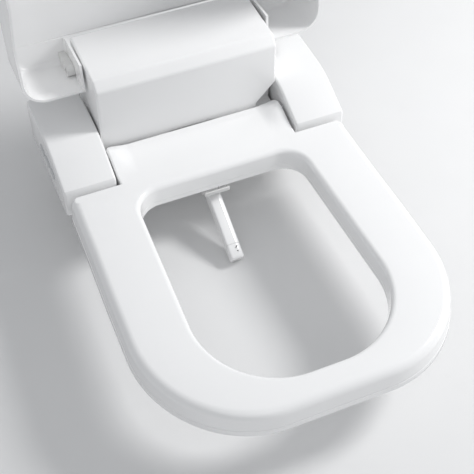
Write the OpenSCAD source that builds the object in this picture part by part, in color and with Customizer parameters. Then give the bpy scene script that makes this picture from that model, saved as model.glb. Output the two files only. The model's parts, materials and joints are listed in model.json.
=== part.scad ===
// Electric bidet seat: a raised housing between two shoulders, a heated seat ring,
// a deep lid that wraps the housing, and a spray wand on a sloping slide.
// Origin: midway between the two fixing studs, on the plane of the bowl's rim.
// X is across, -Y is towards the user, +Z is up. Shown with the lid up, the seat
// down and the wand out.

/* [Housing] */
// Width of the raised housing cover
cover_w = 240; // [225:1:245]
// Depth of the raised housing cover, front to rear
cover_d = 104; // [100:1:110]
// Height of the raised cover's flat top above the rim plane
cover_top = 142; // [138:1:144]
// How far the cover's front face stands in front of the studs
cover_front = 60; // [58:1:62]
// Size of the bevel along the cover's front edge
cover_bevel = 12; // [6:1:16]
// Overall width across the two shoulders
shoulder_w = 380; // [372:1:384]
// Wall thickness of the plastic shells
wall = 2.5; // [2:0.1:3]

/* [Seat] */
// Width of the seat across its underside at the front third
seat_w = 388; // [380:1:392]
// Distance from the studs to the front of the seat
seat_reach = 507; // [500:1:512]
// Height of the seat's top above the rim plane
seat_top = 40; // [38:1:42]
// Thickness of the seat ring without its rubber bumpers
seat_h = 34; // [30:1:34]
// Width of the opening at its widest
opening_w = 236; // [225:1:240]
// Length of the opening, front to rear
opening_l = 315; // [300:1:320]

/* [Lid] */
// Angle that the lid is shown open
lid_open = 95; // [0:1:95]
// Wall thickness of the lid
lid_wall = 3; // [2.5:0.1:3.5]

/* [Wand] */
// Slope of the wand and its slide below level
wand_slope = 26; // [24:1:27]
// Length of the wand
wand_l = 165; // [150:1:170]
// Width of the wand
wand_w = 18; // [14:1:18]
// Height of the wand
wand_h = 16; // [12:1:16]

/* [Fixings] */
// Distance between the two fixing studs
stud_pitch = 140; // [140:1:160]
// Diameter of the fixing studs
stud_d = 8; // [6:1:8]
// How far the studs hang below the rim plane
stud_drop = 60; // [40:1:70]

/* [Hidden] */
$fn = 48;
eps = 0.01;
face_y = -cover_front;
rear_y = face_y + cover_d;
half_cover = cover_w / 2;
half_shoulder = shoulder_w / 2;
inner_shoulder = half_cover + 2;
shoulder_front = -123;
shoulder_rear = rear_y - 10;
base_bottom = 4;
floor_top = 7;
tab_half = half_cover - 1;
tab_rear = face_y - 3;
notch_y = -127;
seat_bottom = seat_top - seat_h;
seam_z = seat_bottom + 9;
half_seat = seat_w / 2;
half_open = opening_w / 2;
open_rear = -151;
open_front = open_rear - opening_l;
// Neck of a fixing bolt in the mounting plate
neck_r = stud_d / 2 + 0.6;
// Seat hinge axis
seat_hinge_y = -78;
seat_hinge_z = seat_top;
knuckle_top = seat_top + 10;
seat_shaft_r = 3;
// Lid hinge axis
lid_hinge_y = 16;
lid_hinge_z = cover_top - 28;
lid_shaft_r = 4;
lid_rear = 27;
lid_notch_y = lid_hinge_y - 29;
lid_notch_half = half_cover + 3;
lid_top = cover_top + 7;
half_lid = 200;
lid_reach = seat_reach + 5;
lid_edge = seat_top + 5;
ear_edge = 76;
arm_r = 7.9;
// Wand frame: the tip's top edge at full reach
tip_y = -222;
tip_z = -53.8;
wand_tip_l = 20;
wand_travel = 92;
screw_x = 17;
screw_r = 3;
motor_y = wand_l + wand_travel + 9;
motor_l = 17;
motor_r = 10;
guide_y = 98;
bearing_y = 138;
// Inlets at the back
water_x = -160;
water_z = 30;
cord_x = 90;
cord_z = 32;
gap = 0.05;
// Button places on the left shoulder's outer side
button_z = 36;
button_y = [-30, -52, -74];
board_x = -half_shoulder + 10.5;
release_y = -10;
release_z = 18;
// Screws that hold the tray to the shoulders and the cover
shoulder_screws = [[175, -105], [180, 22]];
cover_screw = [110, 25];
// Dampers on the two hinges
lid_damper_r = 10;
seat_damper_r = 9;
// Water and electric units on their two shelves
shelf_z = 60;
unit_top = 102;
divider_x = -44;
divider_y = 4;
hose_r = 3;
hose_y = -10;
element_x = -64;
element_y = -8;

// Points along an elliptical arc, from angle a0 to a1
function arc(cx, cy, rx, ry, a0, a1, n) =
    [for (i = [0 : n]) let (a = a0 + (a1 - a0) * i / n) [cx + rx * cos(a), cy + ry * sin(a)]];

// The left half of an outline that was given for the right half, rear to front
function mirrored(points) =
    [for (i = [len(points) - 1 : -1 : 0]) [-points[i][0], points[i][1]]];

function both_sides(points) = concat(points, mirrored(points));

// Outer outline of the seat, drawn in by d from its underside's full size
function seat_outline(d) =
    both_sides(concat(
        arc(tab_half - d - 10, tab_rear - d - 10, 10, 10, 90, 0, 5),
        [[tab_half - d, notch_y - d], [half_seat - 6 - d, notch_y - d]],
        arc(60, -360, half_seat - 60 - d, seat_reach - 360 - d, 0, -90, 18)));

// Outline of the seat's opening, made larger by d
function seat_opening(d) =
    both_sides(concat(
        arc(half_open - 40, open_rear - 33, 33 + d, 33 + d, 90, 0, 7),
        arc(20, -364, half_open - 20 + d, -364 - open_front + d, 0, -90, 16)));

// Outline of the lid when shut, drawn in by d
function lid_outline(d) =
    both_sides(concat(
        [[lid_notch_half + d, lid_notch_y - d], [lid_notch_half + d, lid_rear - d]],
        arc(half_lid - 30, lid_rear - 30, 30 - d, 30 - d, 90, 0, 6),
        arc(60, -360, half_lid - 58 - d, lid_reach - 360 - d, 0, -90, 18)));

// Side outline of the lid when shut: d lowers the top, low drops the free edge
function lid_profile(d, low) =
    [[lid_rear + 1, lid_top - d], [-40, lid_top - d], [-110, lid_top - 10 - d],
     [-260, lid_top - 42 - d], [-420, lid_top - 76 - d], [-lid_reach - 1, lid_top - 92 - d],
     [-lid_reach - 1, lid_edge - low], [notch_y, lid_edge - low],
     [face_y, ear_edge - low], [lid_rear + 1, ear_edge - low]];

// Height of a shoulder's top at the front, at the crest and at the rear
shoulder_profile =
    [[shoulder_front, base_bottom], [shoulder_front, 45], [-112, 50], [-90, 59], [-72, 66],
     [face_y, 69], [-40, 70.5], [shoulder_rear - 8, 70.5], [shoulder_rear, 64],
     [shoulder_rear, base_bottom]];

function inset_profile(d) =
    [[shoulder_front + d, -eps], [shoulder_front + d, 45 - d], [-112, 50 - d], [-90, 59 - d],
     [-72, 66 - d], [face_y, 69 - d], [-40, 70.5 - d], [shoulder_rear - 8, 70.5 - d],
     [shoulder_rear - d, 64 - d], [shoulder_rear - d, -eps]];

// Runs its children, drawn in the Y-Z plane, across from x0 to x1
module across(x0, x1)
    translate([x0, 0, 0])
        rotate([90, 0, 90])
            linear_extrude(x1 - x0)
                children();

module plate(points, z0, z1)
    translate([0, 0, z0])
        linear_extrude(z1 - z0)
            polygon(points);

module box(x0, x1, y0, y1, z0, z1)
    translate([x0, y0, z0])
        cube([x1 - x0, y1 - y0, z1 - z0]);

// A round bar across X
module cross_bar(x0, x1, y, z, r)
    translate([x0, y, z])
        rotate([0, 90, 0])
            cylinder(r = r, h = x1 - x0);

// Runs its children on the left and on the right, mirrored
module both()
    for (side = [0, 1])
        mirror([side, 0, 0])
            children();

// Frame of the wand: x across, y along the slide from the tip upwards, z out of its top
module wand_frame()
    translate([0, tip_y, tip_z])
        rotate([wand_slope, 0, 0])
            children();

// Swings a shut lid to where it is shown
module lid_place()
    translate([0, lid_hinge_y, lid_hinge_z])
        rotate([-lid_open, 0, 0])
            translate([0, -lid_hinge_y, -lid_hinge_z])
                children();

// ---- housing ----

// Lower right front corner of the cover, cut away beside the seat's hinge, grown by d
module corner_pocket(d)
    translate([half_cover, face_y - 1, 0])
        rotate([90, 0, 0])
            mirror([0, 0, 1])
                linear_extrude(19 + d)
                    polygon([[-26 - d, 30 - d], [1, 30 - d], [1, 71 + 1.4 * d], [-26 - d, 41 + 1.4 * d]]);

// Rib with a round seat for a damper that lies across X
module damper_rib(x, y, z, r, z0, z1)
    difference() {
        box(x, x + 3, y - r - 3, y + r + 3, z0, z1);
        cross_bar(x - 1, x + 4, y, z, r + gap);
    }

module main_cover() color("white")
    difference() {
        union() {
            difference() {
                across(-half_cover, half_cover)
                    polygon([[face_y, floor_top + gap], [face_y, cover_top - cover_bevel],
                        [face_y + cover_bevel, cover_top], [rear_y, cover_top],
                        [rear_y, floor_top + gap]]);
                difference() {
                    across(-half_cover + wall, half_cover - wall)
                        polygon([[face_y + wall, 0], [face_y + wall, cover_top - cover_bevel - wall / 2],
                            [face_y + cover_bevel + wall / 2, cover_top - wall],
                            [rear_y + 1, cover_top - wall], [rear_y + 1, 0]]);
                    corner_pocket(wall);
                }
            }
            both() {
                damper_rib(90, lid_hinge_y, lid_hinge_z, lid_damper_r, unit_top + 1, cover_top - 1);
                box(105, half_cover - 1, cover_screw[1] - 5, cover_screw[1] + 5, floor_top + gap, 25);
            }
        }
        corner_pocket(0);
        both() {
            cross_bar(half_cover - 5, half_cover + 5, lid_hinge_y, lid_hinge_z, lid_shaft_r + 0.3);
            translate([cover_screw[0], cover_screw[1], 0])
                cylinder(r = 2 + gap, h = 15);
        }
        // way out for the wand and its slide
        box(-30, 30, face_y - 1, face_y + wall + 1, 0, 36);
        cross_bar(-half_cover - 1, -half_cover + 5, hose_y, water_z, hose_r + 0.6);
    }

module rear_panel() color("gainsboro")
    difference() {
        box(-half_cover + wall + 0.2, half_cover - wall - 0.2, rear_y - 3, rear_y - 0.5,
            20.5, cover_top - wall - 0.2);
        translate([cord_x, rear_y - 4, cord_z])
            rotate([-90, 0, 0])
                cylinder(r = 7.1, h = 6);
    }

// The right shoulder; the left one is its mirror image
module shoulder()
    difference() {
        union() {
            difference() {
                across(inner_shoulder, half_shoulder)
                    polygon(shoulder_profile);
                across(inner_shoulder + wall, half_shoulder - wall)
                    polygon(inset_profile(wall));
            }
            intersection() {
                across(inner_shoulder, half_shoulder)
                    polygon(shoulder_profile);
                union() {
                    damper_rib(140, seat_hinge_y, seat_hinge_z, seat_damper_r, floor_top + gap, 80);
                    for (p = shoulder_screws)
                        translate([p[0], p[1], floor_top + gap])
                            cylinder(r = 5, h = 80);
                }
            }
        }
        // the inner wall stands on the tray's floor
        box(inner_shoulder - 1, inner_shoulder + wall + eps, shoulder_front + wall,
            shoulder_rear - wall, base_bottom - 1, floor_top + gap);
        cross_bar(inner_shoulder - 4, inner_shoulder + 4, seat_hinge_y, seat_hinge_z,
            seat_shaft_r + 0.3);
        for (p = shoulder_screws)
            translate([p[0], p[1], 0])
                cylinder(r = 2 + gap, h = 15);
    }

module button_hole(y, z, w, h)
    box(-half_shoulder - 1, -half_shoulder + wall + 1, y - w / 2 - 0.4, y + w / 2 + 0.4,
        z - h / 2 - 0.4, z + h / 2 + 0.4);

module left_shoulder() color("white")
    union() {
        difference() {
            mirror([1, 0, 0])
                shoulder();
            for (y = button_y)
                button_hole(y, button_z, 16, 10);
            translate([water_x, shoulder_rear - 5, water_z])
                rotate([-90, 0, 0])
                    cylinder(r = 12.1, h = 8);
            cross_bar(-inner_shoulder - 5, -inner_shoulder + 1, hose_y, water_z, hose_r + 0.6);
        }
        // pins that carry the buttons' board
        for (y = [button_y[2] - 10, button_y[0] + 10])
            for (z = [button_z - 10, button_z + 10])
                cross_bar(-half_shoulder + wall - 0.5, board_x - gap, y, z, 2);
    }

module right_shoulder() color("white")
    difference() {
        shoulder();
        box(half_shoulder - wall - 1, half_shoulder + 1, release_y - 12.4, release_y + 12.4,
            release_z - 6.4, release_z + 6.4);
    }

module base_tray() color("whitesmoke")
    difference() {
        union() {
            box(-half_shoulder + wall + 0.3, half_shoulder - wall - 0.3,
                shoulder_front + wall + 0.3, shoulder_rear - wall - 0.3, base_bottom, floor_top);
            box(-half_cover + wall + 0.3, half_cover - wall - 0.3, shoulder_rear - wall - 1,
                rear_y - 4, base_bottom, floor_top);
            // upright wall that carries the cover at the rear
            box(-half_cover + wall + 0.3, half_cover - wall - 0.3, rear_y - 6.5, rear_y - 4,
                base_bottom, 20);
        }
        // room for the wand and its slide, and for the seat's rear tab
        box(-30, 30, shoulder_front - 1, -40, base_bottom - 1, floor_top + 1);
        box(-tab_half - 1, tab_half + 1, shoulder_front - 1, -76, base_bottom - 1, floor_top + 1);
        both() {
            // room for the heads of the two fixing bolts
            translate([stud_pitch / 2, 0, 0])
                cylinder(r = 9, h = 20, center = true);
            for (p = concat(shoulder_screws, [cover_screw]))
                translate([p[0], p[1], 0])
                    cylinder(r = 2.1, h = 20, center = true);
        }
    }

// Shelves for the water heater and the control box, and props for the wand's slide
module inner_frame() color("lightgray")
    union() {
        difference() {
            box(-107, -38, -28, 32, shelf_z - 3, shelf_z - gap);
            translate([divider_x, divider_y, 50])
                cylinder(r = hose_r + 0.6, h = 20);
        }
        for (x = [-100, -44])
            for (y = [-28, 26])
                box(x, x + 6, y, y + 6, floor_top + gap, shelf_z - 2);
        box(38, 114, -38, 22, shelf_z - 3, shelf_z - gap);
        for (x = [40, 98])
            for (y = [-36, 14])
                box(x, x + 6, y, y + 6, floor_top + gap, shelf_z - 2);
        box(divider_x - 12, divider_x + 12, -6, 14, floor_top + gap, 20 - gap);
        // strips join the two shelves and the props, so that the frame is one moulding
        box(-38.5, 38.5, -28, -25, shelf_z - 3, shelf_z - gap);
        for (y = [-30, 8])
            across(-8, 8)
                polygon([[y, floor_top + gap], [y + 8, floor_top + gap],
                    [y + 8, guide_low(y + 8)], [y, guide_low(y)]]);
        box(-44, 46, -36, -24, floor_top + gap, floor_top + 3);
        box(-44, 46, 8, 15, floor_top + gap, floor_top + 3);
    }

// Height of the underside of the wand's slide at y
function guide_low(y) =
    tip_z + (y - tip_y) * tan(wand_slope) - (wand_h + 2.4) / cos(wand_slope) - gap;

module cover_screws() color("silver")
    both()
        for (p = concat(shoulder_screws, [cover_screw]))
            translate([p[0], p[1], base_bottom - 2]) {
                cylinder(r = 3.5, h = 2 - eps);
                cylinder(r = 2, h = 12);
            }

module mounting_plate() color("lightgray")
    difference() {
        box(-95, 95, -28, 28, 0, base_bottom - gap);
        both()
            translate([stud_pitch / 2, 0, -1])
                cylinder(r = neck_r + 0.02, h = 6);
    }

module fixing_bolts() color("silver")
    both()
        translate([stud_pitch / 2, 0, 0]) {
            translate([0, 0, -stud_drop])
                cylinder(r = stud_d / 2, h = stud_drop);
            cylinder(r = neck_r, h = base_bottom);
            translate([0, 0, base_bottom])
                cylinder(r = 7, h = 5);
        }

module rubber_feet() color("dimgray")
    for (p = [[-160, -90], [160, -90], [-160, 10], [160, 10]])
        translate([p[0], p[1], 0])
            cylinder(r = 8, h = base_bottom);

// ---- lid, drawn shut and swung open ----

module lid_shell() color("white")
    lid_place()
        difference() {
            intersection() {
                plate(lid_outline(0), 0, 200);
                across(-300, 300)
                    polygon(lid_profile(0, 0));
            }
            intersection() {
                plate(lid_outline(lid_wall), -10, 200);
                across(-300, 300)
                    polygon(lid_profile(lid_wall, 20));
            }
            // the panel's rear edge has no wall, so that it passes over the raised cover
            box(-lid_notch_half, lid_notch_half, face_y - 6, lid_notch_y + 1, 0, lid_top - lid_wall);
            both()
                cross_bar(lid_notch_half - 1, lid_notch_half + 5, lid_hinge_y, lid_hinge_z,
                    lid_shaft_r + 0.02);
        }

module lid_hinge_arms() color("whitesmoke")
    lid_place()
        both()
            difference() {
                union() {
                    cross_bar(lid_notch_half + 3.2, lid_notch_half + 13, lid_hinge_y, lid_hinge_z,
                        arm_r);
                    box(lid_notch_half + 3.2, lid_notch_half + 13, lid_hinge_y - arm_r,
                        lid_hinge_y + arm_r, lid_hinge_z, lid_top - lid_wall - gap);
                }
                cross_bar(lid_notch_half, lid_notch_half + 20, lid_hinge_y, lid_hinge_z,
                    lid_shaft_r + 0.02);
            }

module lid_hinge_shafts() color("silver")
    lid_place()
        both()
            cross_bar(half_cover - 24, half_cover + 14, lid_hinge_y, lid_hinge_z, lid_shaft_r);

module lid_bumpers() color("lightgray")
    lid_place()
        intersection() {
            both()
                translate([80, -478, seat_top + 0.5])
                    cylinder(r = 6, h = 40);
            across(-300, 300)
                polygon(lid_profile(lid_wall + gap, 20));
        }

module lid_dampers() color("darkgray")
    both()
        difference() {
            cross_bar(half_cover - 42, half_cover - wall - 0.2, lid_hinge_y, lid_hinge_z,
                lid_damper_r);
            cross_bar(half_cover - 24.2, half_cover + 1, lid_hinge_y, lid_hinge_z,
                lid_shaft_r + gap);
        }

// ---- seat ----

module seat_ring(d, z0, z1)
    difference() {
        plate(seat_outline(d), z0, z1);
        plate(seat_opening(d), z0 - 1, z1 + 1);
    }

// Room under the seat's rear tab for the wand's slide
module slide_room()
    box(-34, 34, -112, tab_rear + 1, seat_bottom - 1, seat_top - 3);

// Raised knuckle over the hinge at the tab's side, which fades out towards the middle
module hinge_knuckle()
    intersection() {
        across(86, tab_half)
            polygon([[-118, seat_top - 1], [-118, seat_top], [-104, seat_top + 3.5],
                [-94, seat_top + 7.5], [-85, knuckle_top], [-76, knuckle_top],
                [-68, seat_top + 7], [tab_rear, seat_top + 3], [tab_rear, seat_top - 1]]);
        translate([0, tab_rear + 1, 0])
            rotate([90, 0, 0])
                linear_extrude(60)
                    polygon([[86, seat_top - 2], [tab_half + 1, seat_top - 2],
                        [tab_half + 1, knuckle_top + 1], [110, knuckle_top], [88, seat_top],
                        [86, seat_top]]);
    }

module seat_top_shell() color("white")
    difference() {
        union() {
            difference() {
                seat_ring(0, seam_z, seat_top);
                seat_ring(3, seam_z - 1, seat_top - 3);
            }
            both() {
                box(92, tab_half - 1, seat_hinge_y - 5, seat_hinge_y + 5, seat_hinge_z - 6,
                    seat_top - 1);
                intersection() {
                    hinge_knuckle();
                    plate(seat_outline(0), 0, knuckle_top + 2);
                }
            }
        }
        slide_room();
        // the rear edge below the hinge is open, so the tab can swing down past the cover
        box(-tab_half - 1, tab_half + 1, seat_hinge_y + 4, tab_rear + 1, seam_z - 1, seat_top - 8);
        both()
            cross_bar(99.9, 130, seat_hinge_y, seat_hinge_z, seat_shaft_r + 0.02);
    }

module seat_base_shell() color("whitesmoke")
    difference() {
        seat_ring(0, seat_bottom, seam_z - eps);
        seat_ring(3, seat_bottom + 3, seam_z + 1);
        slide_room();
        box(-tab_half - 1, tab_half + 1, -84, tab_rear + 1, seat_bottom - 1, seam_z + 1);
    }

module seat_heater() color("peru")
    difference() {
        plate(heater_outline(), seat_top - 4.2, seat_top - 3.05);
        plate(seat_opening(14), seat_top - 6, seat_top - 1);
    }

function heater_outline() =
    both_sides(concat([[half_seat - 22, notch_y - 26]],
        arc(60, -360, half_seat - 80, seat_reach - 380, 0, -90, 12)));

module seat_bumpers() color("lightgray")
    both()
        for (p = [[150, -250], [105, -455]])
            translate([p[0], p[1], 0.2])
                cylinder(r = 9, h = seat_bottom - 0.2 - eps);

module seat_hinge_shafts() color("silver")
    both()
        cross_bar(100, 150, seat_hinge_y, seat_hinge_z, seat_shaft_r);

module seat_dampers() color("darkgray")
    both()
        difference() {
            cross_bar(inner_shoulder + wall + 0.5, 165, seat_hinge_y, seat_hinge_z, seat_damper_r);
            cross_bar(inner_shoulder, 150.2, seat_hinge_y, seat_hinge_z, seat_shaft_r + gap);
        }

// ---- wand and its drive ----

module spray_wand() color("white")
    wand_frame()
        difference() {
            union() {
                translate([-wand_w / 2, wand_tip_l, -wand_h])
                    cube([wand_w, wand_l - wand_tip_l, wand_h - 6]);
                translate([-wand_w / 2, wand_tip_l, -6.01])
                    cube([4, wand_l - wand_tip_l, 6.01]);
                translate([2, wand_tip_l, -7])
                    rotate([-90, 0, 0])
                        cylinder(r = 7, h = wand_l - wand_tip_l);
            }
            // two water passages along the wand
            for (x = [-3.5, 3.5])
                translate([x, wand_tip_l - 1, -11])
                    rotate([-90, 0, 0])
                        cylinder(r = 1.8, h = wand_l);
        }

module wand_tip() color("white")
    wand_frame()
        difference() {
            union() {
                translate([-wand_w / 2, 0, -wand_h])
                    cube([wand_w, wand_tip_l - eps, wand_h - 6]);
                translate([-wand_w / 2, 0, -6.01])
                    cube([4, wand_tip_l - eps, 6.01]);
                translate([2, 0, -7])
                    rotate([-90, 0, 0])
                        cylinder(r = 7, h = wand_tip_l - eps);
            }
            // the two spray holes reach down into the water passages
            translate([2, 9.5, -12])
                cylinder(r = 1, h = 20);
            translate([2, 15, -12])
                cylinder(r = 1.3, h = 20);
            for (x = [-3.5, 3.5])
                translate([x, 6, -11])
                    rotate([-90, 0, 0])
                        cylinder(r = 1.8, h = 20);
        }

module wand_carriage() color("lightgray")
    wand_frame()
        difference() {
            translate([wand_w / 2 + 0.05, wand_l - 12, -13])
                cube([screw_x + 6 - wand_w / 2, 12, 12]);
            translate([screw_x, wand_l - 13, -8])
                rotate([-90, 0, 0])
                    cylinder(r = screw_r + 0.05, h = 14);
        }

module nozzle_guide() color("gainsboro")
    wand_frame()
        difference() {
            union() {
                // floor and left wall of the slide
                translate([-wand_w / 2 - 2.5, guide_y, -wand_h - 2.4])
                    cube([wand_w + 5, motor_y - guide_y, 2]);
                translate([-wand_w / 2 - 2.5, guide_y, -wand_h - 0.5])
                    cube([2.1, motor_y - guide_y, wand_h - 2]);
                // right wall, in front of the carriage's travel
                translate([wand_w / 2 + 0.4, guide_y, -wand_h - 0.5])
                    cube([2.1, bearing_y + 2 - guide_y, wand_h - 2]);
                // front bearing of the screw and the plate that carries the motor
                translate([wand_w / 2 + 0.4, bearing_y, -wand_h - 0.5])
                    cube([screw_x + 6 - wand_w / 2, 5, wand_h - 2]);
                translate([-wand_w / 2 - 2.5, motor_y - 2.5, -wand_h - 0.5])
                    cube([screw_x + motor_r + wand_w / 2 + 2.5, 2.5, wand_h + 2]);
            }
            translate([screw_x, bearing_y + 2, -8])
                rotate([-90, 0, 0])
                    cylinder(r = screw_r + gap, h = 140);
        }

// Bar across the front of the wand's slide, with two arms that reach back under the tray
module nozzle_shield() color("white")
    union() {
        box(-17, 17, -152, -149.5, -3, 3);
        both() {
            box(14.6, 17, -150, -118, -3, 3);
            box(14.6, 28, -120, -117.5, -3, 3);
            box(25.5, 28, -120, -60, -3, 3);
            box(25.5, 36, -74, -60, -3, base_bottom - gap);
        }
    }

module drive_screw() color("silver")
    wand_frame()
        translate([screw_x, bearing_y + 2.5, -8])
            rotate([-90, 0, 0])
                cylinder(r = screw_r, h = motor_y - bearing_y + 5.5);

module drive_motor() color("dimgray")
    wand_frame()
        difference() {
            translate([screw_x, motor_y + eps, -8])
                rotate([-90, 0, 0])
                    cylinder(r = motor_r, h = motor_l);
            translate([screw_x, motor_y - 1, -8])
                rotate([-90, 0, 0])
                    cylinder(r = screw_r + 0.05, h = 9.5);
        }

// ---- water ----

module water_heater() color("gainsboro")
    difference() {
        box(-108, -40, -30, 34, shelf_z, 100);
        box(-105, -43, -27, 31, shelf_z + 3, 97);
        translate([element_x, element_y, 90])
            cylinder(r = 5.02, h = 20);
    }

module heater_element() color("chocolate")
    translate([element_x, element_y, 70]) {
        cylinder(r = 5, h = 34);
        translate([0, 0, 30 + gap])
            cylinder(r = 9, h = 6);
    }

module water_inlet() color("silver")
    translate([water_x, shoulder_rear - 20, water_z])
        rotate([-90, 0, 0])
            difference() {
                union() {
                    cylinder(r = 14, h = 14);
                    cylinder(r = 10.48, h = 34);
                }
                translate([0, 0, 4])
                    cylinder(r = 7, h = 40);
                translate([0, 0, -1])
                    cylinder(r = 3, h = 6);
            }

module inlet_filter() color("goldenrod")
    translate([water_x, shoulder_rear - 4, water_z])
        rotate([-90, 0, 0])
            difference() {
                cylinder(r = 6.9, h = 10);
                translate([0, 0, -1])
                    cylinder(r = 4.5, h = 20);
            }

// Valve body that stands on the tray, with a seat for the coil's core on top
module inlet_valve() color("whitesmoke")
    difference() {
        union() {
            box(water_x - 16, water_x + 16, -24, shoulder_rear - 20 - gap, floor_top + gap, 42);
            translate([water_x, -4, 42 - eps])
                cylinder(r = 9, h = 4);
        }
        translate([water_x, -4, water_z - 6])
            cylinder(r = 4, h = 40);
        translate([water_x, -4, water_z])
            rotate([-90, 0, 0])
                cylinder(r = 3, h = 40);
    }

module valve_coil() color("brown")
    translate([water_x, -4, 46 + gap])
        cylinder(r = 12, h = 18);

module flow_divider() color("whitesmoke")
    union() {
        box(divider_x - 16, divider_x + 16, divider_y - 16, divider_y + 16, 20, 40);
        translate([divider_x, divider_y, 40 - eps])
            cylinder(r = 9, h = 12);
    }

// Straight runs of hose with ball elbows
module hose(points)
    for (i = [0 : len(points) - 2]) {
        bar_between(points[i], points[i + 1], hose_r);
        if (i > 0)
            translate(points[i])
                sphere(r = hose_r + 0.5);
    }

module bar_between(a, b, r) {
    v = b - a;
    length = norm(v);
    translate(a)
        rotate([0, acos(v[2] / length), atan2(v[1], v[0])])
            cylinder(r = r, h = length);
}

module water_hoses() color("azure") {
    hose([[water_x + 16 + gap, hose_y, water_z], [-112, hose_y, water_z], [-112, hose_y, 80],
        [-108 - gap, hose_y, 80]]);
    hose([[divider_x, divider_y, shelf_z - gap], [divider_x, divider_y, 52 + gap]]);
    hose([[divider_x + 16 + gap, divider_y, 30], [-20, divider_y, 30], [-20, divider_y, 46.4],
        [-wand_w / 2 - 2.5 - gap, divider_y, 46.4]]);
}

// ---- electrics ----

module control_box() color("lightgray")
    union() {
        difference() {
            box(40, 112, -38, 20, shelf_z, unit_top);
            box(42, 110, -36, 18, shelf_z + 2, unit_top + 1);
        }
        for (x = [50, 102])
            for (y = [-30, 10])
                translate([x, y, shelf_z + 1])
                    cylinder(r = 2.5, h = 5 - gap);
    }

module control_board() color("green")
    box(44, 108, -34, 16, shelf_z + 6, shelf_z + 7.6);

module board_transformer() color("black")
    box(50, 78, -30, -4, shelf_z + 7.6 + gap, 92);

module power_gland() color("black")
    translate([cord_x, rear_y - 12, cord_z])
        rotate([-90, 0, 0])
            difference() {
                union() {
                    cylinder(r = 7, h = 16);
                    cylinder(r = 10, h = 8.5);
                    translate([0, 0, 12.1])
                        cylinder(r = 9, h = 4);
                }
                translate([0, 0, -1])
                    cylinder(r = 3.6, h = 30);
            }

module side_button(y)
    union() {
        box(-half_shoulder - 1.5, -half_shoulder + 8, y - 8, y + 8, button_z - 5, button_z + 5);
        box(-half_shoulder + wall + gap, -half_shoulder + wall + 1.5, y - 10, y + 10,
            button_z - 7, button_z + 7);
    }

module power_button() color("whitesmoke")
    side_button(button_y[0]);

module wash_button() color("whitesmoke")
    side_button(button_y[1]);

module stop_button() color("whitesmoke")
    side_button(button_y[2]);

module button_board() color("green")
    box(board_x, board_x + 1.5, button_y[2] - 12, button_y[0] + 12, button_z - 12, button_z + 12);

module release_button() color("whitesmoke")
    union() {
        box(half_shoulder - 10, half_shoulder + 2, release_y - 12, release_y + 12,
            release_z - 6, release_z + 6);
        box(half_shoulder - wall - 1.5, half_shoulder - wall - gap, release_y - 15, release_y + 15,
            release_z - 8.5, release_z + 8.5);
    }

base_tray();
inner_frame();
mounting_plate();
fixing_bolts();
rubber_feet();
main_cover();
rear_panel();
left_shoulder();
right_shoulder();
cover_screws();
lid_shell();
lid_hinge_arms();
lid_hinge_shafts();
lid_bumpers();
lid_dampers();
seat_top_shell();
seat_base_shell();
seat_heater();
seat_bumpers();
seat_hinge_shafts();
seat_dampers();
spray_wand();
wand_tip();
wand_carriage();
nozzle_guide();
nozzle_shield();
drive_screw();
drive_motor();
water_heater();
heater_element();
inlet_valve();
valve_coil();
water_inlet();
inlet_filter();
flow_divider();
water_hoses();
control_box();
control_board();
board_transformer();
power_gland();
power_button();
wash_button();
stop_button();
button_board();
release_button();
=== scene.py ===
# %% [markdown]
# # A bidet seat, one piece at a time
# The engineering model is already packed, with every part in its place. This lesson keeps that
# frame and gives the outside pieces the soft edges, skins and finishes of the real seat. All
# sizes are typed in millimetres, the way a maker reads a ruler, and turned into metres once.

# %% Load the frame
import json
import math
import bmesh
import bpy
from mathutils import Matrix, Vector


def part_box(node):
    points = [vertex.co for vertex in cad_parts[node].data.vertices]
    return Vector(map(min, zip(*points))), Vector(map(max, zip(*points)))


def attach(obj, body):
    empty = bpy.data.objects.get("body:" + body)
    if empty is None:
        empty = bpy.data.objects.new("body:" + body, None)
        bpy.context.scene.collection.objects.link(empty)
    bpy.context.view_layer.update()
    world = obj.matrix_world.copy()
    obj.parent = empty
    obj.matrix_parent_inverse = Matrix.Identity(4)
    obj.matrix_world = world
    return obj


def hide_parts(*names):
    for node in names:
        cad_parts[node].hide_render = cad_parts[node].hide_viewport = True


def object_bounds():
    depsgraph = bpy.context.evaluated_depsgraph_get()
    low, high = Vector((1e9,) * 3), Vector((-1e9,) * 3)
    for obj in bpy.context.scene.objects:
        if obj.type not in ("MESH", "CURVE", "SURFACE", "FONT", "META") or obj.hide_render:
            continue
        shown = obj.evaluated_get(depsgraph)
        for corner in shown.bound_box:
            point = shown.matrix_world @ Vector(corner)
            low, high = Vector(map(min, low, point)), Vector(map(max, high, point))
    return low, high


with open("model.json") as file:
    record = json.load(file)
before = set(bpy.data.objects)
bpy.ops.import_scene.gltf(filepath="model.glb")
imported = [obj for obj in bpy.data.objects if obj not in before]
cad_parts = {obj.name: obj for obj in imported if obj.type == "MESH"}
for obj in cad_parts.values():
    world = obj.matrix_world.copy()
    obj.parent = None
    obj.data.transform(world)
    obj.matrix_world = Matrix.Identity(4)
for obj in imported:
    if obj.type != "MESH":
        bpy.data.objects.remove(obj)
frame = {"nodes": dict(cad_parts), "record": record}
cad_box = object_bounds()
MM = 0.001
print("nodes loaded:", len(frame["nodes"]))

# %% [markdown]
# ## Reading sizes from the frame
# The frame knows where each part lies, so most places come from it. The few numbers after that
# are the outlines' own: half widths, where the notch for the shoulders is, and so on.


# %% Sizes
def span(node):
    low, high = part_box(node)
    return [v / MM for v in low], [v / MM for v in high]


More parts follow.
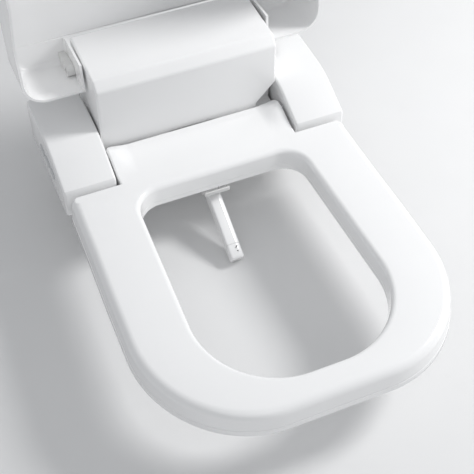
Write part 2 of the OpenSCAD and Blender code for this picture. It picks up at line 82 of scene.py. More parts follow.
cover_low, cover_high = span("main_cover")
shoulder_low, shoulder_high = span("right_shoulder")
seat_low, seat_high = span("seat_top_shell")
base_low = span("seat_base_shell")[0]
half_cover = cover_high[0]
cover_face = cover_low[1]
cover_top = cover_high[2]
cover_bevel = 12
wall = 2.5
seam = seat_low[2]
seat_top = seam + 25
seat_bottom = base_low[2]
half_seat = seat_high[0]
seat_front = -seat_low[1]
tab_half = half_cover - 1
tab_rear = seat_high[1]
notch_y = -127
half_open = 118
open_rear = -151
open_front = -466
lid_axis = (16, cover_top - 28)
seat_axis = (-78, seat_top)
print(f"seat {2 * half_seat:.0f} mm wide, cover {2 * half_cover:.0f} mm wide")

# %% [markdown]
# ## The camera
# The seat is seen from the user's left, looking down on it. A long lens keeps the ring's far
# side from shrinking too much.

# %% Camera
camera_data = bpy.data.cameras.new("camera")
camera_data.lens = 82.99
camera_data.sensor_width = 36
camera = bpy.data.objects.new("camera", camera_data)
camera.location = (-0.3473, -1.0392, 1.0189)
camera.rotation_euler = (math.radians(90 - 49.293), 0, math.radians(-22.856))
bpy.context.scene.collection.objects.link(camera)
bpy.context.scene.camera = camera
print("camera at", tuple(camera.location))

# %% [markdown]
# ## Finishes
# Moulded plastic is never one flat tone. Its gloss wanders a little where the tool was polished,
# and the surface has a faint ripple. Each finish is a Principled shader with two noises: a slow
# one that moves colour and roughness, and a fine one that only feeds a bump. The bump is kept
# tiny, because real mouldings look smooth until light skims them.


# %% Finish helper
def finish(name, colour, rough, spread=0.05, metal=0.0, coat=0.0, grain=900, bump=0.02, tint=0.97):
    made = bpy.data.materials.new(name)
    made.use_nodes = True
    nodes = made.node_tree.nodes
    links = made.node_tree.links
    shader = nodes["Principled BSDF"]
    shader.inputs["Metallic"].default_value = metal
    shader.inputs["Coat Weight"].default_value = coat
    shader.inputs["Coat Roughness"].default_value = 0.08
    place = nodes.new("ShaderNodeTexCoord")
    slow = nodes.new("ShaderNodeTexNoise")
    slow.inputs["Scale"].default_value = 14
    slow.inputs["Detail"].default_value = 3
    links.new(place.outputs["Object"], slow.inputs["Vector"])
    tone = nodes.new("ShaderNodeValToRGB")
    tone.color_ramp.elements[0].color = (*[c * tint for c in colour], 1)
    tone.color_ramp.elements[1].color = (*colour, 1)
    links.new(slow.outputs["Fac"], tone.inputs["Fac"])
    links.new(tone.outputs["Color"], shader.inputs["Base Color"])
    gloss = nodes.new("ShaderNodeMapRange")
    gloss.inputs["To Min"].default_value = max(rough - spread, 0.04)
    gloss.inputs["To Max"].default_value = rough + spread
    links.new(slow.outputs["Fac"], gloss.inputs["Value"])
    links.new(gloss.outputs["Result"], shader.inputs["Roughness"])
    fine = nodes.new("ShaderNodeTexNoise")
    fine.inputs["Scale"].default_value = grain
    links.new(place.outputs["Object"], fine.inputs["Vector"])
    skin = nodes.new("ShaderNodeBump")
    skin.inputs["Strength"].default_value = bump
    skin.inputs["Distance"].default_value = 0.0004
    links.new(fine.outputs["Fac"], skin.inputs["Height"])
    links.new(skin.outputs["Normal"], shader.inputs["Normal"])
    return made


# %% [markdown]
# The outside is glossy white with a clear skin over it. Inner mouldings are duller. Rubber is
# rough and grainy, steel and brass are bright with a wider spread of gloss.

# %% All finishes
finishes = {
    "white_plastic": finish("glossy white housing", (0.91, 0.91, 0.91), 0.2, coat=0.35),
    "seat_plastic": finish("glossy white seat", (0.93, 0.93, 0.93), 0.16, coat=0.45),
    "inner_plastic": finish("dull white moulding", (0.74, 0.74, 0.73), 0.45, bump=0.08),
    "button_plastic": finish("satin grey key", (0.62, 0.63, 0.64), 0.35, coat=0.1),
    "soft_rubber": finish("grey rubber pad", (0.45, 0.45, 0.45), 0.8, grain=1500, bump=0.25),
    "dark_rubber": finish("black rubber", (0.03, 0.03, 0.03), 0.75, grain=1500, bump=0.3, tint=0.7),
    "steel": finish("bright steel", (0.62, 0.62, 0.63), 0.3, 0.1, metal=1.0, grain=700, bump=0.06),
    "brass": finish("turned brass", (0.72, 0.52, 0.22), 0.3, 0.1, metal=1.0, grain=700, bump=0.06),
    "damper_plastic": finish("grey damper", (0.12, 0.125, 0.13), 0.5, bump=0.1),
    "heater_film": finish("amber heating film", (0.55, 0.27, 0.09), 0.35, coat=0.2, tint=0.8),
    "motor_case": finish("painted motor case", (0.06, 0.065, 0.07), 0.4, metal=0.3, bump=0.1),
    "circuit_board": finish("green board", (0.02, 0.14, 0.05), 0.35, coat=0.3, tint=0.75),
    "dark_plastic": finish("black moulding", (0.025, 0.025, 0.028), 0.4, bump=0.1, tint=0.8),
    "tube_plastic": finish("pale hose", (0.62, 0.74, 0.78), 0.3, coat=0.2),
}
slot_of = {row["node"]: row["material_slot"] for row in frame["record"]["subparts"]}
for node_name, node_object in frame["nodes"].items():
    node_object.data.materials.clear()
    node_object.data.materials.append(finishes[slot_of[node_name]])
print("finishes:", len(finishes))

# %% [markdown]
# ## Small tools for making pieces
# A piece starts as plain points and faces, gets its modifiers, and is then frozen, so that what
# you see is real geometry. Frozen pieces are shaded smooth, with a crease only where two faces
# meet at more than 40 degrees.


# %% Making and freezing
def raw(name, points, faces):
    mesh = bpy.data.meshes.new(name)
    mesh.from_pydata([Vector(p) * MM for p in points], [], faces)
    made = bpy.data.objects.new(name, mesh)
    bpy.context.scene.collection.objects.link(made)
    skin = bmesh.new()
    skin.from_mesh(mesh)
    bmesh.ops.recalc_face_normals(skin, faces=skin.faces)
    skin.to_mesh(mesh)
    skin.free()
    return made


def freeze(piece):
    seen = piece.evaluated_get(bpy.context.evaluated_depsgraph_get())
    mesh = bpy.data.meshes.new_from_object(seen)
    piece.modifiers.clear()
    piece.data = mesh
    return piece


def soften(piece, width, steps=4, angle=25):
    edge = piece.modifiers.new("soft edges", "BEVEL")
    edge.width = width * MM
    edge.segments = steps
    edge.limit_method = "ANGLE"
    edge.angle_limit = math.radians(angle)
    edge.use_clamp_overlap = True
    return freeze(piece)


def carve(piece, *tools, solver="EXACT"):
    for tool in tools:
        cut = piece.modifiers.new("cut", "BOOLEAN")
        cut.object = tool
        cut.operation = "DIFFERENCE"
        cut.solver = solver
    freeze(piece)
    for tool in tools:
        bpy.data.objects.remove(tool)
    return piece


def skin_of(piece, thickness):
    solid = piece.modifiers.new("skin", "SOLIDIFY")
    solid.thickness = thickness * MM
    solid.offset = -1
    solid.use_even_offset = True
    return freeze(piece)


# %% [markdown]
# Every finished piece gets the moving body it rides on and its finish, and the engineering parts it stands
# for are hidden. One helper does all three, so that none is forgotten.

# %% Finishing a piece
body_of = {n: b for b, group in frame["record"]["behaviour"]["bodies"].items() for n in group}


def finished(piece, *nodes, crease=40):
    piece.name = piece.name.replace(" ", "_")
    piece.data.materials.clear()
    piece.data.materials.append(finishes[slot_of[nodes[0]]])
    piece.data.shade_smooth()
    piece.data.set_sharp_from_angle(angle=math.radians(crease))
    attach(piece, body_of[nodes[0]])
    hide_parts(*nodes)
    print(piece.name, "has", len(piece.data.polygons), "faces")
    return piece


# %% [markdown]
# ## Three basic solids
# Nearly all of the housing is a side outline pushed across the seat's width. Bars and holes are
# prisms too, with a round outline. Turned parts, such as studs and feet, are a profile spun
# around an axis, which is how a lathe would make them.


# %% Prisms and turned parts
def prism(name, outline, x0, x1):
    n = len(outline)
    points = [(x, y, z) for x in (x0, x1) for y, z in outline]
    faces = [tuple(range(n)), tuple(range(2 * n - 1, n - 1, -1))]
    faces += [(i, (i + 1) % n, n + (i + 1) % n, n + i) for i in range(n)]
    return raw(name, points, faces)


def block(name, x0, x1, y0, y1, z0, z1):
    return prism(name, [(y0, z0), (y1, z0), (y1, z1), (y0, z1)], x0, x1)


def rod(name, x0, x1, y, z, r, n=32):
    turn = [2 * math.pi * i / n for i in range(n)]
    return prism(name, [(y + r * math.cos(a), z + r * math.sin(a)) for a in turn], x0, x1)


def turned(name, profile, place, axis=(0, 0, 1), n=40):
    # profile is (radius, height) from one end to the other; both ends lie on the axis
    points = []
    faces = []
    for r, h in profile:
        for i in range(n):
            a = 2 * math.pi * i / n
            points.append((r * math.cos(a), r * math.sin(a), h))
    for k in range(len(profile) - 1):
        for i in range(n):
            j = (i + 1) % n
            faces.append((k * n + i, k * n + j, (k + 1) * n + j, (k + 1) * n + i))
    faces.append(tuple(range(n)))
    faces.append(tuple(range((len(profile) - 1) * n, len(profile) * n)))
    turn = Vector((0, 0, 1)).rotation_difference(Vector(axis))
    return raw(name, [Vector(place) + turn @ Vector(p) for p in points], faces)


def joined(name, pieces):
    mesh = bpy.data.meshes.new(name)
    whole = bmesh.new()
    for piece in pieces:
        whole.from_mesh(piece.data)
        bpy.data.objects.remove(piece)
    whole.to_mesh(mesh)
    whole.free()
    made = bpy.data.objects.new(name, mesh)
    bpy.context.scene.collection.objects.link(made)
    return made


# %% [markdown]
# ## Raised cover
# The tall housing behind the seat is a hollow box with a broad bevel along its front top edge.
# Its lower right front corner is cut away beside the seat's hinge. The outside is shaped and
# softened first, and hollowed afterwards: the other way round, the bevel would also eat the
# inner edges and could leave thin walls.


# %% Raised cover
def pocket(grow):
    low = 30 - grow
    inner = half_cover - 26 - grow
    outer = half_cover + 1
    y0 = cover_face - 1
    y1 = cover_face + 18 + grow
    profile = [(inner, low), (outer, low), (outer, 71 + 1.4 * grow), (inner, 41 + 1.4 * grow)]
    points = [(x, y, z) for y in (y0, y1) for x, z in profile]
    faces = [(0, 1, 2, 3), (7, 6, 5, 4)] + [(i, (i + 1) % 4, 4 + (i + 1) % 4, 4 + i) for i in range(4)]
    return raw("pocket", points, faces)


def cover_side(d):
    return [
        (cover_face + d, cover_low[2] - (5 if d else 0)),
        (cover_face + d, cover_top - cover_bevel - d / 2),
        (cover_face + cover_bevel + d / 2, cover_top - d),
        (cover_high[1] + (5 if d else 0), cover_top - d),
        (cover_high[1] + (5 if d else 0), cover_low[2] - (5 if d else 0)),
    ]


raised = prism("raised cover", cover_side(0), -half_cover, half_cover)
carve(raised, pocket(0))
soften(raised, 3.2, steps=5)
hollow = prism("hollow", cover_side(wall), -half_cover + wall, half_cover - wall)
carve(hollow, pocket(wall))
holes = [rod("hole", s * half_cover - 6, s * half_cover + 6, *lid_axis, 4.3) for s in (-1, 1)]
wand_way = block("way", -30, 30, cover_face - 1, cover_face + 6, 0, 36)
carve(raised, hollow, wand_way, *holes)
finished(raised, "main_cover", crease=30)

# %% [markdown]
# ## Shoulders
# A lower box sits on each side of the raised cover. Its top slopes down towards the user and
# ends in a short upright front. The two are mirror images, but the left one has slots for the
# three keys and a hole for the water inlet, and the right one has a slot for the release key.

# %% Shoulder outline
shoulder_side = [
    (-123, 4), (-123, 42), (-121, 46), (-112, 50), (-101, 54.4), (-90, 59), (-81, 62.9),
    (-72, 66), (-60, 69), (-50, 70.2), (-40, 70.5), (26, 70.5), (31, 68.8), (34, 64), (34, 4),
]


def shoulder_hollow():
    inner = [(-123 + wall, -1), (-123 + wall, 42 - wall), (-112, 50 - wall), (-72, 66 - wall),
             (-60, 69 - wall), (-40, 70.5 - wall), (26, 70.5 - wall), (34 - wall, 64 - wall),
             (34 - wall, -1)]
    return inner


def shoulder(side, name):
    x0, x1 = sorted((side * shoulder_low[0], side * shoulder_high[0]))
    piece = prism(name, shoulder_side, x0, x1)
    soften(piece, 3.5, steps=5, angle=60)
    x0, x1 = sorted((side * (shoulder_low[0] + wall), side * (shoulder_high[0] - wall)))
    room = prism("room", shoulder_hollow(), x0, x1)
    inner_x = side * shoulder_low[0]
    shaft = rod("shaft hole", inner_x - 5, inner_x + 5, *seat_axis, 3.3)
    return piece, room, shaft


# %% [markdown]
# The key slots are cut a little larger than the keys, so that a thin dark line shows round each
# key, as on any real key that has to move.


# %% Cutting the shoulders
def slot_round(node, grow=0.4):
    low, high = span(node)
    mid = [(a + b) / 2 for a, b in zip(low, high)]
    side = -1 if mid[0] < 0 else 1
    half_y, half_z = key_half[node]
    x0, x1 = sorted((side * 180, side * 200))
    return block("slot", x0, x1, mid[1] - half_y - grow, mid[1] + half_y + grow,
                 mid[2] - half_z - grow, mid[2] + half_z + grow)


key_half = {"power_button": (8, 5), "wash_button": (8, 5), "stop_button": (8, 5),
            "release_button": (12, 6)}
left, left_room, left_shaft = shoulder(-1, "left shoulder")
left_slots = [slot_round(n) for n in ("power_button", "wash_button", "stop_button")]
inlet_hole = turned("inlet hole", [(12.1, 0), (12.1, 12)], (-160, 28, 30), (0, 1, 0))
carve(left, left_room, left_shaft, inlet_hole, *left_slots)
finished(left, "left_shoulder", crease=30)
right, right_room, right_shaft = shoulder(1, "right shoulder")
carve(right, right_room, right_shaft, slot_round("release_button"))
finished(right, "right_shoulder", crease=30)

# %% [markdown]
# ## Keys
# Each key is a small block with soft edges, and a flange behind the wall that keeps it from
# falling out. The face is slightly proud of the shoulder, so that a finger finds it.


# %% Keys
def key(node, name):
    low, high = span(node)
    mid = [(a + b) / 2 for a, b in zip(low, high)]
    half_y, half_z = key_half[node]
    side = -1 if mid[0] < 0 else 1
    outer = low[0] if side < 0 else high[0]
    inner = high[0] if side < 0 else low[0]
    x0, x1 = sorted((outer, inner))
    face = block("face", x0, x1, mid[1] - half_y, mid[1] + half_y, mid[2] - half_z, mid[2] + half_z)
    soften(face, 1.3)
    rim0, rim1 = sorted((side * (190 - wall - 0.1), side * (190 - wall - 1.5)))
    rim = block("rim", rim0, rim1, low[1], high[1], low[2], high[2])
    return finished(joined(name, [face, rim]), node)


for node_name, piece_name in (("power_button", "power key"), ("wash_button", "wash key"),
                              ("stop_button", "stop key"), ("release_button", "release key")):
    key(node_name, piece_name)

# %% [markdown]
# ## Outlines with corners that stay put
# The seat and the lid are made from stacks of the same outline, drawn in a little at each level.
# If every level has the same number of points, neighbours join up into clean four-sided faces,
# and rounded edges come for free by walking a quarter circle of inset against height.


# %% Outline helpers
def arc(cx, cy, rx, ry, a0, a1, n):
    steps = [a0 + (a1 - a0) * i / n for i in range(n + 1)]
    return [(cx + rx * math.cos(math.radians(a)), cy + ry * math.sin(math.radians(a))) for a in steps]


def both_sides(points):
    return points + [(-p[0], *p[1:]) for p in reversed(points)]


def quarter(radius, n=6):
    # inset and drop of a rounded edge, from the wall to the flat top
    turn = [math.pi / 2 * i / n for i in range(n + 1)]
    return [(radius * (1 - math.cos(a)), radius * (1 - math.sin(a))) for a in turn]


def ring_faces(loops, count, closed=True):
    faces = []
    for k in range(loops - 1):
        for i in range(count if closed else count - 1):
            j = (i + 1) % count
            faces.append((k * count + i, k * count + j, (k + 1) * count + j, (k + 1) * count + i))
    return faces


# %% [markdown]
# ## The seat's outer edge
# Along the sides and the front the top edge is a generous round that the legs rest on, and the
# wall leans outwards towards the bottom. At the rear tab, which fits between the shoulders, the
# edge is much tighter. So every point of the outline has a weight: 0 on the tab and 1 on the
# outside, and the corner between them blends from one to the other.


# %% Seat outline
def seat_loop(out_inset, out_z, tab_inset, tab_z):
    def at(weight):
        return tab_inset + (out_inset - tab_inset) * weight

    d = at(0)
    loop = [(x, y, 0) for x, y in arc(tab_half - 10, tab_rear - 10, 10 - d, 10 - d, 90, 0, 8)]
    loop += [(tab_half - d, notch_y - d, 0)]
    corner = 12
    for i in range(9):
        w = i / 8
        a = math.radians(90 * (1 - w))
        r = corner - at(w)
        loop.append((half_seat - 6 - corner + r * math.cos(a), notch_y - corner + r * math.sin(a), w))
    side = arc(60, -360, half_seat - 60 - at(1), seat_front - 360 - at(1), 0, -90, 48)
    loop += [(half_seat - 4 - at(1), -215, 1), (half_seat - 1.5 - at(1), -285, 1)]
    loop += [(x, y, 1) for x, y in side]
    placed = [(x, y, tab_z + (out_z - tab_z) * w) for x, y, w in loop]
    return both_sides(placed)


def opening_loop(grow, z):
    rear = arc(half_open - 40, open_rear - 33, 33 + grow, 33 + grow, 90, 0, 14)
    front = arc(20, -364, half_open - 20 + grow, -364 - open_front + grow, 0, -90, 36)
    return [(x, y, z) for x, y in both_sides(rear + front)]


# %% [markdown]
# The top shell is one open skin: up the outer wall, over the rounded edge, across the flat top,
# and down the opening's wall. The flat part is filled between its two borders in one go, because
# they have different numbers of points. At the rear corners the skin rises into a knuckle over
# each hinge: it is cut into small squares there, and the squares are lifted along a side outline
# that fades out towards the middle. Solidify then gives the skin its real 3 mm. Last, the room
# that the wand slides through and the open lower rear edge are cut away.

# %% Seat top
out_round = 11
tab_round = 2.5
hole_round = 7
knuckle_side = [(-118, 0), (-104, 3.5), (-94, 7.5), (-85, 10), (-76, 10), (-68, 7), (tab_rear, 3)]
knuckle_foot = 26  # height where the tab's wall starts to stretch
fade_from, fade_width = 86, 30


def along(value, stops):
    if value <= stops[0][0]:
        return stops[0][1]
    for (a0, b0), (a1, b1) in zip(stops, stops[1:]):
        if value <= a1:
            return b0 + (b1 - b0) * (value - a0) / (a1 - a0)
    return stops[-1][1]


def raise_knuckles(mesh):
    cuts = [((s * x, 0, 0), (1, 0, 0)) for x in range(88, 118, 4) for s in (-1, 1)]
    cuts += [((0, y, 0), (0, 1, 0)) for y in range(-118, -64, 3)]
    for place, normal in cuts:
        near = {f for f in mesh.faces
                if max(abs(v.co.x) for v in f.verts) > fade_from * MM
                and max(v.co.y for v in f.verts) > -121 * MM}
        near |= {e for f in near for e in f.edges} | {v for f in near for v in f.verts}
        bmesh.ops.bisect_plane(mesh, geom=list(near), plane_co=Vector(place) * MM, plane_no=normal)
    for v in mesh.verts:
        x, y, z = (c / MM for c in v.co)
        share = (z - knuckle_foot) / (seat_top - knuckle_foot)
        if share > 0:
            fade = min(max((abs(x) - fade_from) / fade_width, 0), 1)
            smooth_fade = fade * fade * (3 - 2 * fade)
            v.co.z += along(y, knuckle_side) * smooth_fade * min(share, 1) * MM


def seat_skin(name, outer, inner, thickness, shape=None):
    n_out = len(outer[0])
    n_in = len(inner[0])
    points = [p for loop in outer for p in loop] + [p for loop in inner for p in loop]
    first_in = len(outer) * n_out
    faces = ring_faces(len(outer), n_out)
    faces += [tuple(first_in + v for v in f) for f in ring_faces(len(inner), n_in)]
    mesh = bmesh.new()
    verts = [mesh.verts.new(Vector(p) * MM) for p in points]
    for face in faces:
        mesh.faces.new([verts[v] for v in face])
    top_out = verts[(len(outer) - 1) * n_out:first_in]
    top_in = verts[first_in + (len(inner) - 1) * n_in:]
    border = [mesh.edges.get((loop[i], loop[(i + 1) % len(loop)]))
              for loop in (top_out, top_in) for i in range(len(loop))]
    bmesh.ops.triangle_fill(mesh, use_beauty=True, edges=border)
    if shape:
        shape(mesh)
    bmesh.ops.recalc_face_normals(mesh, faces=mesh.faces)
    made_mesh = bpy.data.meshes.new(name)
    mesh.to_mesh(made_mesh)
    mesh.free()
    made = bpy.data.objects.new(name, made_mesh)
    bpy.context.scene.collection.objects.link(made)
    return skin_of(made, thickness)


upper = [seat_loop(1.6, seam + 0.2, 0.3, seam + 0.2), seat_loop(2.6, 24, 0.3, 26)]
for (inset, drop), (tab_inset, tab_drop) in zip(quarter(out_round, 8), quarter(tab_round, 8)):
    upper.append(seat_loop(3.4 + inset, seat_top - drop, 0.3 + tab_inset, seat_top - tab_drop))
hole_wall = [opening_loop(0, seam + 0.2)]
hole_wall += [opening_loop(inset, seat_top - drop) for inset, drop in quarter(hole_round, 8)]
seat = seat_skin("seat top", upper, hole_wall, 2.9, raise_knuckles)


def slide_room():
    return block("slide room", -34, 34, -112, tab_rear + 2, -1, seat_top - 3)


rear_edge = block("rear edge", -tab_half - 1, tab_half + 1, seat_axis[0] + 4, tab_rear + 1, 10, seat_top - 8)
carve(seat, slide_room(), rear_edge, solver="MANIFOLD")
finished(seat, "seat_top_shell", crease=35)

# %% [markdown]
# ## Seat base
# The lower half closes the ring from below. It has a shadow line where it meets the top shell,
# made by drawing its upper edge in by less than a millimetre, and its foot is rounded a little.

# %% Seat base
lower = [seat_loop(14, seat_bottom, 6, seat_bottom), seat_loop(2.2, seat_bottom, 2.2, seat_bottom),
         seat_loop(0.9, seat_bottom + 0.6, 0.9, seat_bottom + 0.6),
         seat_loop(0.3, seat_bottom + 2, 0.3, seat_bottom + 2),
         seat_loop(1.1, seam - 0.9, 0.4, seam - 0.9), seat_loop(1.9, seam - 0.2, 1.0, seam - 0.2)]
lower_hole = [opening_loop(0.6, seam - 0.2), opening_loop(0.1, seam - 0.9),
              opening_loop(0.1, seat_bottom + 2), opening_loop(1.5, seat_bottom + 0.4),
              opening_loop(3, seat_bottom)]


def seat_foot(name):
    # same skin, upside down: the flat part is the underside
    outer = list(reversed(lower))
    return seat_skin(name, outer, lower_hole, 2.5)


foot = seat_foot("seat base")
hinge_room = block("hinge room", -tab_half - 2, tab_half + 2, -84, tab_rear + 2, 0, seam + 2)
carve(foot, slide_room(), hinge_room, solver="MANIFOLD")
finished(foot, "seat_base_shell", crease=35)

# %% [markdown]
# ## The lid's outline
# The lid is a deep cap. At the rear it splits into two ears that wrap round the raised cover, and
# between the ears the panel stops short, so that it passes over the cover as it swings. The
# outline is given for the shut lid, which lies level, and is swung open afterwards.

# %% Lid shape
lid_notch_half = half_cover + 3
lid_notch_y = lid_axis[0] - 29
lid_rear = 27
half_lid = 200
lid_reach = seat_front + 5
lid_top = cover_top + 7
lid_wall = 3
lid_open = 95
lid_round = 11


def between(y, stops):
    for (y0, z0), (y1, z1) in zip(stops, stops[1:]):
        if y >= y1:
            return z0 + (z1 - z0) * (y - y0) / (y1 - y0)
    return stops[-1][1]


crown = [(40, lid_top), (-40, lid_top), (-110, lid_top - 10), (-260, lid_top - 42),
         (-420, lid_top - 76), (-520, lid_top - 92.5)]
free_edge = [(40, 76), (-60, 76), (notch_y, seat_top + 5), (-520, seat_top + 5)]
points_on_ear = 9


def lid_outline(d):
    loop = [(lid_notch_half + min(d, 2), lid_notch_y), (lid_notch_half + min(d, 2), lid_rear - d)]
    loop += arc(half_lid - 30, lid_rear - 30, 30 - d, 30 - d, 90, 0, points_on_ear - 3)
    loop += [(half_lid - d, lid_notch_y)]
    loop += [(half_lid + 0.4 - d, -40), (half_lid + 0.8 - d, -60), (half_lid + 1.1 - d, notch_y),
             (half_lid + 1.5 - d, -200), (half_lid + 1.8 - d, -280)]
    return loop + arc(60, -360, half_lid - 58 - d, lid_reach - 360 - d, 0, -90, 48)


# %% [markdown]
# The skin is built from its free edge upwards. The ears get their own flat caps. The rest of the
# top is filled with strips that run straight across from left to right: the crown only changes
# from rear to front, so every strip is flat and no stray shading appears.


# %% Lid skin
def lid_level(d, drop):
    return both_sides([(x, y, between(y, crown) - drop) for x, y in lid_outline(d)])


def lid_skin():
    edge = both_sides([(x, y, between(y, free_edge)) for x, y in lid_outline(0)])
    mid = both_sides([(x, y, (between(y, free_edge) + between(y, crown) - lid_round) / 2)
                      for x, y in lid_outline(0)])
    levels = [edge, mid] + [lid_level(inset, drop) for inset, drop in quarter(lid_round, 8)]
    count = len(edge)
    half = count // 2
    faces = ring_faces(len(levels), count, closed=False)
    base = (len(levels) - 1) * count
    ear = points_on_ear + 1
    faces.append(tuple(base + i for i in range(ear)))
    faces.append(tuple(base + count - 1 - i for i in range(ear)))
    faces.append((base + ear - 1, base + ear, base + count - 1 - ear, base + count - ear,
                  base + count - 1, base))
    for i in range(ear, half - 1):
        faces.append((base + i, base + i + 1, base + count - 2 - i, base + count - 1 - i))
    return raw("lid", [p for level in levels for p in level], faces)


def swing(piece):
    turn = math.radians(-lid_open)
    y0, z0 = lid_axis
    for v in piece.data.vertices:
        y = v.co.y / MM - y0
        z = v.co.z / MM - z0
        v.co.y = (y0 + y * math.cos(turn) - z * math.sin(turn)) * MM
        v.co.z = (z0 + y * math.sin(turn) + z * math.cos(turn)) * MM
    return piece


lid = skin_of(lid_skin(), lid_wall)
carve(lid, *[rod("shaft way", *sorted((s * 120, s * 130)), *lid_axis, 4.1) for s in (-1, 1)])
finished(swing(lid), "lid_shell", crease=35)

# %% [markdown]
# ## Spray wand
# The wand is a slim bar on a steep slide. Its right top edge is a large round and its left is
# nearly square, and it ends in a separate nozzle with a round hole and a slanted slot.

# %% Wand frame
slope = math.radians(26)
wand_tip_at = (-222, -53.8)
wand_length = 165
nozzle_length = 20


def on_slide(points):
    out = []
    for x, y, z in points:
        out.append((x, wand_tip_at[0] + y * math.cos(slope) - z * math.sin(slope),
                    wand_tip_at[1] + y * math.sin(slope) + z * math.cos(slope)))
    return out


def wand_section(d):
    # across and height of the wand's outline, drawn in by d
    top = [(2 + (7 - d) * math.cos(math.radians(a)), -7 + (7 - d) * math.sin(math.radians(a)))
           for a in range(0, 91, 10)]
    left_top = [(-9 + d + 2 - 2 * math.sin(math.radians(a)), -d - 2 + 2 * math.cos(math.radians(a)))
                for a in range(0, 91, 30)]
    return top + left_top + [(-9 + d, -15 + d), (-8 + d, -16 + d), (8 - d, -16 + d), (9 - d, -15 + d)]


def wand_part(name, stations):
    loops = [[(x, y, z) for x, z in wand_section(d)] for y, d in stations]
    count = len(loops[0])
    points = on_slide([p for loop in loops for p in loop])
    faces = ring_faces(len(loops), count)
    faces += [tuple(range(count)), tuple(range((len(loops) - 1) * count, len(loops) * count))]
    return raw(name, points, faces)


# %% Wand and nozzle
wand = wand_part("wand", [(nozzle_length + 0.1, 0.5), (nozzle_length + 0.6, 0),
                          (wand_length - 1, 0), (wand_length, 1)])
finished(wand, "spray_wand", crease=30)
nozzle = wand_part("nozzle", [(0.1, 2.4), (0.5, 1.3), (1.4, 0.5), (2.6, 0),
                              (nozzle_length - 0.6, 0), (nozzle_length - 0.1, 0.5)])
slot_angle = math.radians(35)
slot_x, slot_y = 2, 15
slot_steps = (-1.6, -0.8, 0, 0.8, 1.6)
slot_radius = 0.8
hole_x, hole_y, hole_radius = 2, 9.5, 1.0


def drill(x, y, r):
    foot_point, head_point = on_slide([(x, y, -6), (x, y, 6)])
    aim = Vector(head_point) - Vector(foot_point)
    return turned("drill", [(r, 0), (r, 12)], foot_point, aim, n=20)


# five drills in a row make the slot
drills = [drill(slot_x + step * math.cos(slot_angle), slot_y + step * math.sin(slot_angle), slot_radius)
          for step in slot_steps]
carve(nozzle, *drills, drill(hole_x, hole_y, hole_radius))
finished(nozzle, "wand_tip", crease=30)

# %% [markdown]
# ## The bar in front of the slide
# A small rail joins the two sides of the slot that the wand comes out of.

# %% Bar
bar_low = span("nozzle_shield")[0]
bar = block("front", -17, 17, bar_low[1], bar_low[1] + 2.5, bar_low[2], 3)
soften(bar, 0.8)
parts = [bar]
for s in (-1, 1):
    for x0, x1, y0, y1, z1 in ((14.6, 17, -150, -118, 3), (14.6, 28, -120, -117.5, 3),
                               (25.5, 28, -120, -60, 3), (25.5, 36, -74, -60, 3.95)):
        left_x, right_x = sorted((s * x0, s * x1))
        parts.append(block("arm", left_x, right_x, y0, y1, bar_low[2], z1))
finished(joined("slide bar", parts), "nozzle_shield")

# %% [markdown]
# ## Turned pieces
# Feet, pads, studs, the drive screw and the water inlet are all round, so each is a profile spun
# on its axis. Threads are drawn as rings a pitch apart. A true helix looks the same at this size
# and costs far more points.


# %% Threads and rounds
def threaded(r, start, end, pitch, depth):
    profile = []
    h = start
    while h < end - 1e-6:
        profile += [(r - depth, h), (r, h + pitch * 0.5)]
        h += pitch
    return profile + [(r - depth, end)]


def pad(x, y, z0, z1, r, edge=1.0):
    profile = [(0.01, z0), (r - edge, z0), (r - edge * 0.3, z0 + edge * 0.3), (r, z0 + edge),
               (r, z1), (0.01, z1)]
    return turned("pad", [(a, b - z0) for a, b in profile], (x, y, z0))


def pads(node, name, spots, z0, z1, r):
    return finished(joined(name, [pad(x, y, z0, z1, r) for x, y in spots]), node)


pads("seat_bumpers", "seat pads", [(s * x, y) for x, y in ((150, -250), (105, -455)) for s in (-1, 1)],
     0.2, seat_bottom - 0.1, 9)
pads("rubber_feet", "feet", [(s * 160, y) for y in (-90, 10) for s in (-1, 1)], 0, 3.95, 8)

# %% [markdown]
# The two fixing bolts hang below the mounting plate. Each has a hexagonal head and a thread all
# the way down, which ends in a short cone so that a nut starts easily.

# %% Fixing bolts
stud_low = span("fixing_bolts")[0]
studs = []
for s in (-1, 1):
    cone = [(2.6, 0), (3.4, 1.2)]
    shank = threaded(4, 1.2, -stud_low[2] - 2, 1.5, 0.6)
    rest = [(4, -stud_low[2]), (4.6, -stud_low[2]), (4.6, -stud_low[2] + 4)]
    studs.append(turned("stud", cone + shank + rest, (s * 70, 0, stud_low[2])))
    head = turned("head", [(7, 0), (7, 4.2), (6.2, 5)], (s * 70, 0, 4), n=6)
    studs.append(head)
finished(joined("fixing bolts", studs), "fixing_bolts", crease=20)

# %% [markdown]
# The water inlet is turned from brass: a flange inside the shoulder, then a hollow threaded nose.

# %% Water inlet
inlet_low, inlet_high = span("water_inlet")
inlet_length = inlet_high[1] - inlet_low[1]
nose = [(14, 0), (14, 13.4), (13.4, 14), (9.6, 14.4), (9.6, 19)]
nose += threaded(10.48, 19.5, inlet_length - 1, 1.8, 1.0) + [(9.2, inlet_length)]
inside = [(7, inlet_length), (7, 4), (3, 4), (3, 0)]
inlet_shape = nose + inside
n = 40
inlet_points = [(r * math.cos(2 * math.pi * i / n), h, r * math.sin(2 * math.pi * i / n))
                for r, h in inlet_shape for i in range(n)]
inlet_faces = ring_faces(len(inlet_shape), n)
last = (len(inlet_shape) - 1) * n
inlet_faces += [(last + i, last + (i + 1) % n, (i + 1) % n, i) for i in range(n)]
inlet = raw("inlet", [(-160 + x, inlet_low[1] + y, 30 + z) for x, y, z in inlet_points], inlet_faces)
finished(inlet, "water_inlet", crease=25)

# %% [markdown]
# ## Rear panel
# The panel closes the housing at the back. A block of upright slots lets warm air out.

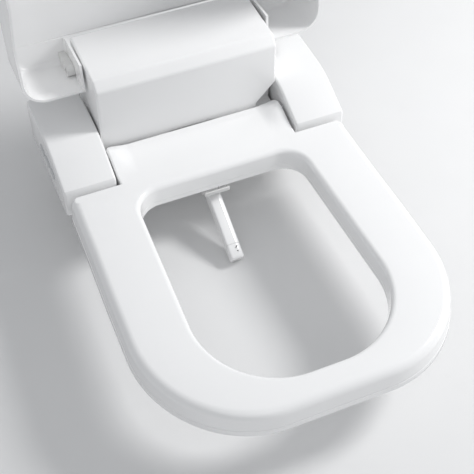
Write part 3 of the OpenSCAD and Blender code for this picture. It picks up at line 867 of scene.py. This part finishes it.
# %% Rear panel
panel_low, panel_high = span("rear_panel")
panel = block("rear panel", panel_low[0], panel_high[0], panel_low[1], panel_high[1],
              panel_low[2], panel_high[2])
soften(panel, 0.6, steps=2)
vents = [block("vent", x, x + 3, panel_low[1] - 2, panel_high[1] + 2, 78, 112) for x in range(-66, 6, 8)]
gland_hole = turned("gland hole", [(7.1, 0), (7.1, 9)], (90, panel_low[1] - 3, 32), (0, 1, 0))
carve(panel, gland_hole, *vents)
finished(panel, "rear_panel")

# %% [markdown]
# ## Drive screw
# The screw that pushes the wand in and out is hidden below the seat. It has a coarse thread.

# %% Drive screw
thread = [(2.4, 0)] + threaded(3, 0.5, 118, 3, 0.7) + [(3, 118.5), (3, 133.5)]
screw_foot, screw_head = on_slide([(17, 140.5, -8), (17, 141.5, -8)])
screw = turned("drive screw", thread, screw_foot, Vector(screw_head) - Vector(screw_foot), n=24)
finished(screw, "drive_screw", crease=20)

# %% [markdown]
# ## Floor and light
# A plain pale floor lies just under the lowest point. The light is that of a bathroom: one broad
# soft source from the right and above, which lets the raised cover throw a shadow on the left
# shoulder, and a bright even room around it.

# %% Studio
floor_mesh = bpy.data.meshes.new("floor")
floor_mesh.from_pydata([(-4, -4, 0), (4, -4, 0), (4, 4, 0), (-4, 4, 0)], [], [(0, 1, 2, 3)])
floor = bpy.data.objects.new("floor", floor_mesh)
floor.location.z = cad_box[0][2] - 0.002
floor.data.materials.append(finish("pale floor", (0.8, 0.8, 0.8), 0.7, bump=0.05))
bpy.context.scene.collection.objects.link(floor)


def soft_light(name, place, aim, size, power):
    lamp = bpy.data.lights.new(name, "AREA")
    lamp.shape = "DISK"
    lamp.size = size
    lamp.energy = power
    made = bpy.data.objects.new(name, lamp)
    made.location = place
    made.rotation_euler = (Vector(aim) - Vector(place)).to_track_quat("-Z", "Y").to_euler()
    bpy.context.scene.collection.objects.link(made)
    return made


soft_light("window", (1.5, -0.35, 1.25), (0, -0.1, 0.05), 0.55, 26)
soft_light("room", (-0.6, -1.8, 1.8), (0, -0.2, 0), 2.0, 5)
sky = bpy.data.worlds.new("room light")
sky.use_nodes = True
sky.node_tree.nodes["Background"].inputs["Color"].default_value = (0.95, 0.97, 1.0, 1)
sky.node_tree.nodes["Background"].inputs["Strength"].default_value = 0.5
bpy.context.scene.world = sky
bpy.context.scene.view_settings.view_transform = "Standard"
print("floor at", round(floor.location.z, 3))

# %% [markdown]
# The soft shapes must not make the seat bigger than its engineering model.

# %% Finish
print("finished")
